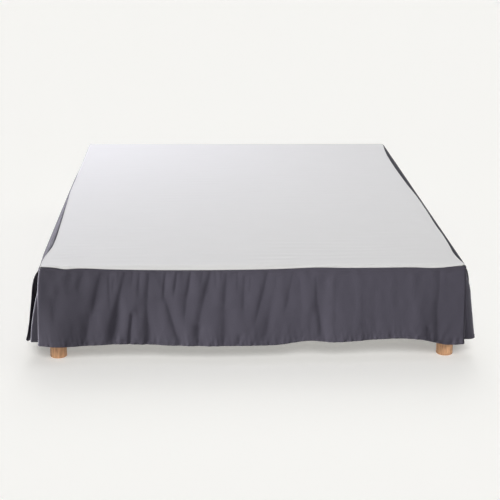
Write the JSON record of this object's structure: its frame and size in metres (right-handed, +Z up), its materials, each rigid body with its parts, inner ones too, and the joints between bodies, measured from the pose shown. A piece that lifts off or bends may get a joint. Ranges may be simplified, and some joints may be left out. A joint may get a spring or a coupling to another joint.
{
  "type": "bed skirt on a box bed base",
  "caption": "Split-corner bed skirt: white deck, charcoal drops on three sides, hung over a plain box bed base on round wooden feet.",
  "frame": {"origin": "on the floor, under the middle of the whole object's box", "axes": "+Z up, +Y towards the head of the bed, +X towards its right side seen from the foot"},
  "size_m": [1.5026, 1.9372, 0.3302],
  "materials": {
    "skirt_cloth": "matt plain weave, charcoal",
    "deck_cloth": "thin white non-woven, matt",
    "base_cloth": "plain pale ticking, matt",
    "foot_wood": "satin varnished beech"
  },
  "bodies": {
    "root": {"base": "base_cloth", "foot_front_left": "foot_wood", "foot_front_right": "foot_wood", "foot_head_left": "foot_wood", "foot_head_right": "foot_wood", "deck": "deck_cloth", "drop_front": "skirt_cloth", "drop_left": "skirt_cloth", "drop_right": "skirt_cloth", "pleat_left": "skirt_cloth", "pleat_right": "skirt_cloth"}
  },
  "joints": []
}
